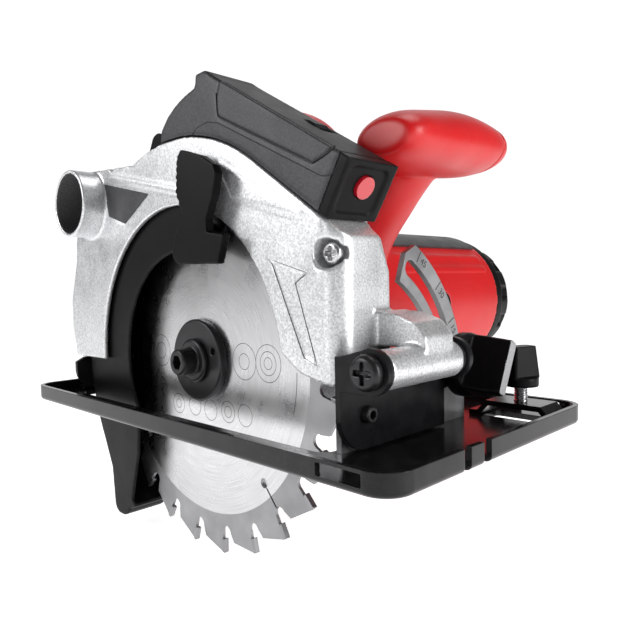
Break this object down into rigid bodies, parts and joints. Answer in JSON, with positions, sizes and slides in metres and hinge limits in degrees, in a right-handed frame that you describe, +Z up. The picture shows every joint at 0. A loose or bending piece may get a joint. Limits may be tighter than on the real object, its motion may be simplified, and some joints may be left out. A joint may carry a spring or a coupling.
{
  "type": "circular saw",
  "caption": "Hand-held electric circular saw with bevel and depth adjustment, swinging lower guard, dust port and laser line unit.",
  "frame": {"origin": "on the sole (underside of the base plate), straight below the arbor, in the mid-plane of the blade", "axes": "+X is the cutting direction, +Y points from the blade to the motor, +Z is up"},
  "size_m": [0.2758, 0.261, 0.2226],
  "materials": {
    "black_gloss_steel": "gloss black powder coat",
    "black_sheet_steel": "satin black coated sheet",
    "black_plastic": "black moulded plastic, fine grain",
    "charcoal_plastic": "charcoal moulded plastic, fine grain",
    "red_plastic": "satin red moulded plastic",
    "silver_casting": "silver granular painted die casting",
    "bright_steel": "ground blade steel",
    "dark_steel": "black oxide steel",
    "zinc_steel": "zinc plated steel",
    "carbide": "sintered carbide",
    "copper": "copper and brass",
    "core_steel": "electrical steel laminations",
    "graphite": "graphite brush",
    "red_lens": "red translucent lens"
  },
  "bodies": {
    "base": {"base_plate": "black_gloss_steel", "bevel_quadrant": "black_sheet_steel", "rear_hinge_bracket": "black_sheet_steel", "front_bevel_pin": "dark_steel", "rear_bevel_pin": "dark_steel"},
    "fence_clamp": {"fence_clamp_screw": "zinc_steel", "fence_clamp_knob": "black_plastic"},
    "tilt_frame": {"front_tilt_bracket": "black_sheet_steel", "depth_bracket": "black_sheet_steel", "depth_pivot_screw": "dark_steel", "pivot_nut": "dark_steel", "pivot_washers": "dark_steel"},
    "bevel_clamp": {"bevel_knob": "black_plastic", "bevel_bolt": "zinc_steel"},
    "saw_body": {"upper_guard": "silver_casting", "guard_badge": "charcoal_plastic", "guard_screws": "zinc_steel", "gearbox_housing": "silver_casting", "motor_housing": "red_plastic", "motor_end_cap": "black_plastic", "vent_grille": "charcoal_plastic", "field_stator": "core_steel", "ball_bearings": "bright_steel", "carbon_brushes": "graphite", "brush_holders": "copper", "brush_caps": "black_plastic", "guard_spring": "bright_steel", "front_grip": "red_plastic", "front_grip_cap": "red_plastic", "handle_left_shell": "red_plastic", "handle_right_shell": "red_plastic", "switch_module": "black_plastic", "cord_gland": "black_plastic", "laser_housing": "charcoal_plastic", "laser_bezel": "black_plastic", "laser_battery_cover": "charcoal_plastic", "laser_lens": "red_lens", "laser_module": "copper", "laser_batteries": "zinc_steel", "depth_bolt": "zinc_steel"},
    "spindle": {"saw_blade": "bright_steel", "carbide_tips": "carbide", "outer_flange": "dark_steel", "inner_flange": "dark_steel", "arbor_bolt": "dark_steel", "spindle_shaft": "zinc_steel", "driven_gear": "zinc_steel"},
    "armature": {"armature_shaft": "zinc_steel", "armature_core": "core_steel", "commutator": "copper", "cooling_fan": "charcoal_plastic"},
    "lower_guard": {"lower_guard": "black_plastic", "guard_lever": "black_plastic"},
    "trigger": {"trigger": "black_plastic"},
    "lock_off": {"lock_off_button": "black_plastic"},
    "laser_switch": {"laser_switch": "black_plastic"},
    "depth_lever": {"depth_lever": "black_plastic"},
    "spindle_lock": {"spindle_lock_button": "black_plastic"}
  },
  "joints": [
    {"name": "bevel_hinge", "type": "hinge", "parent": "base", "child": "tilt_frame", "pos_m": [0, -0.004, 0.016], "axis": [1, 0, 0], "range_deg": [0, 45]},
    {"name": "depth_hinge", "type": "hinge", "parent": "tilt_frame", "child": "saw_body", "pos_m": [0.119, 0, 0.0338], "axis": [0, 1, 0], "range_deg": [0, 29]},
    {"name": "bevel_knob_turn", "type": "hinge", "parent": "tilt_frame", "child": "bevel_clamp", "pos_m": [0.115, 0.0569, 0.02762], "axis": [1, 0, 0], "range_deg": [0, 180]},
    {"name": "fence_knob_turn", "type": "hinge", "parent": "base", "child": "fence_clamp", "pos_m": [0.122, 0.082, 0.02], "axis": [0, 0, 1], "range_deg": [0, 360]},
    {"name": "spindle_spin", "type": "hinge", "parent": "saw_body", "child": "spindle", "pos_m": [0, 0, 0.0275], "axis": [0, 1, 0], "continuous": true},
    {"name": "armature_spin", "type": "hinge", "parent": "saw_body", "child": "armature", "pos_m": [0.0122, 0, 0.0503], "axis": [0, 1, 0], "continuous": true},
    {"name": "lower_guard_swing", "type": "hinge", "parent": "saw_body", "child": "lower_guard", "pos_m": [0, 0, 0.0275], "axis": [0, -1, 0], "range_deg": [0, 105]},
    {"name": "trigger_pull", "type": "slide", "parent": "saw_body", "child": "trigger", "axis": [0, 0, 1], "range_m": [0, 0.005], "stiffness_N_per_m": 300, "springref_m": -0.002},
    {"name": "lock_off_push", "type": "slide", "parent": "saw_body", "child": "lock_off", "axis": [0, 1, 0], "range_m": [0, 0.003], "stiffness_N_per_m": 300, "springref_m": -0.002},
    {"name": "laser_switch_slide", "type": "slide", "parent": "saw_body", "child": "laser_switch", "axis": [0.8572, 0, -0.515], "range_m": [0, 0.003]},
    {"name": "depth_lever_turn", "type": "hinge", "parent": "saw_body", "child": "depth_lever", "pos_m": [-0.09597, 0.025, 0.03005], "axis": [0, 1, 0], "range_deg": [-60, 0]},
    {"name": "spindle_lock_push", "type": "slide", "parent": "saw_body", "child": "spindle_lock", "axis": [1, 0, 0], "range_m": [0, 0.004], "stiffness_N_per_m": 300, "springref_m": -0.002}
  ],
  "couplings": [
    {"joint": "armature_spin", "follows": "spindle_spin", "ratio": -4}
  ]
}
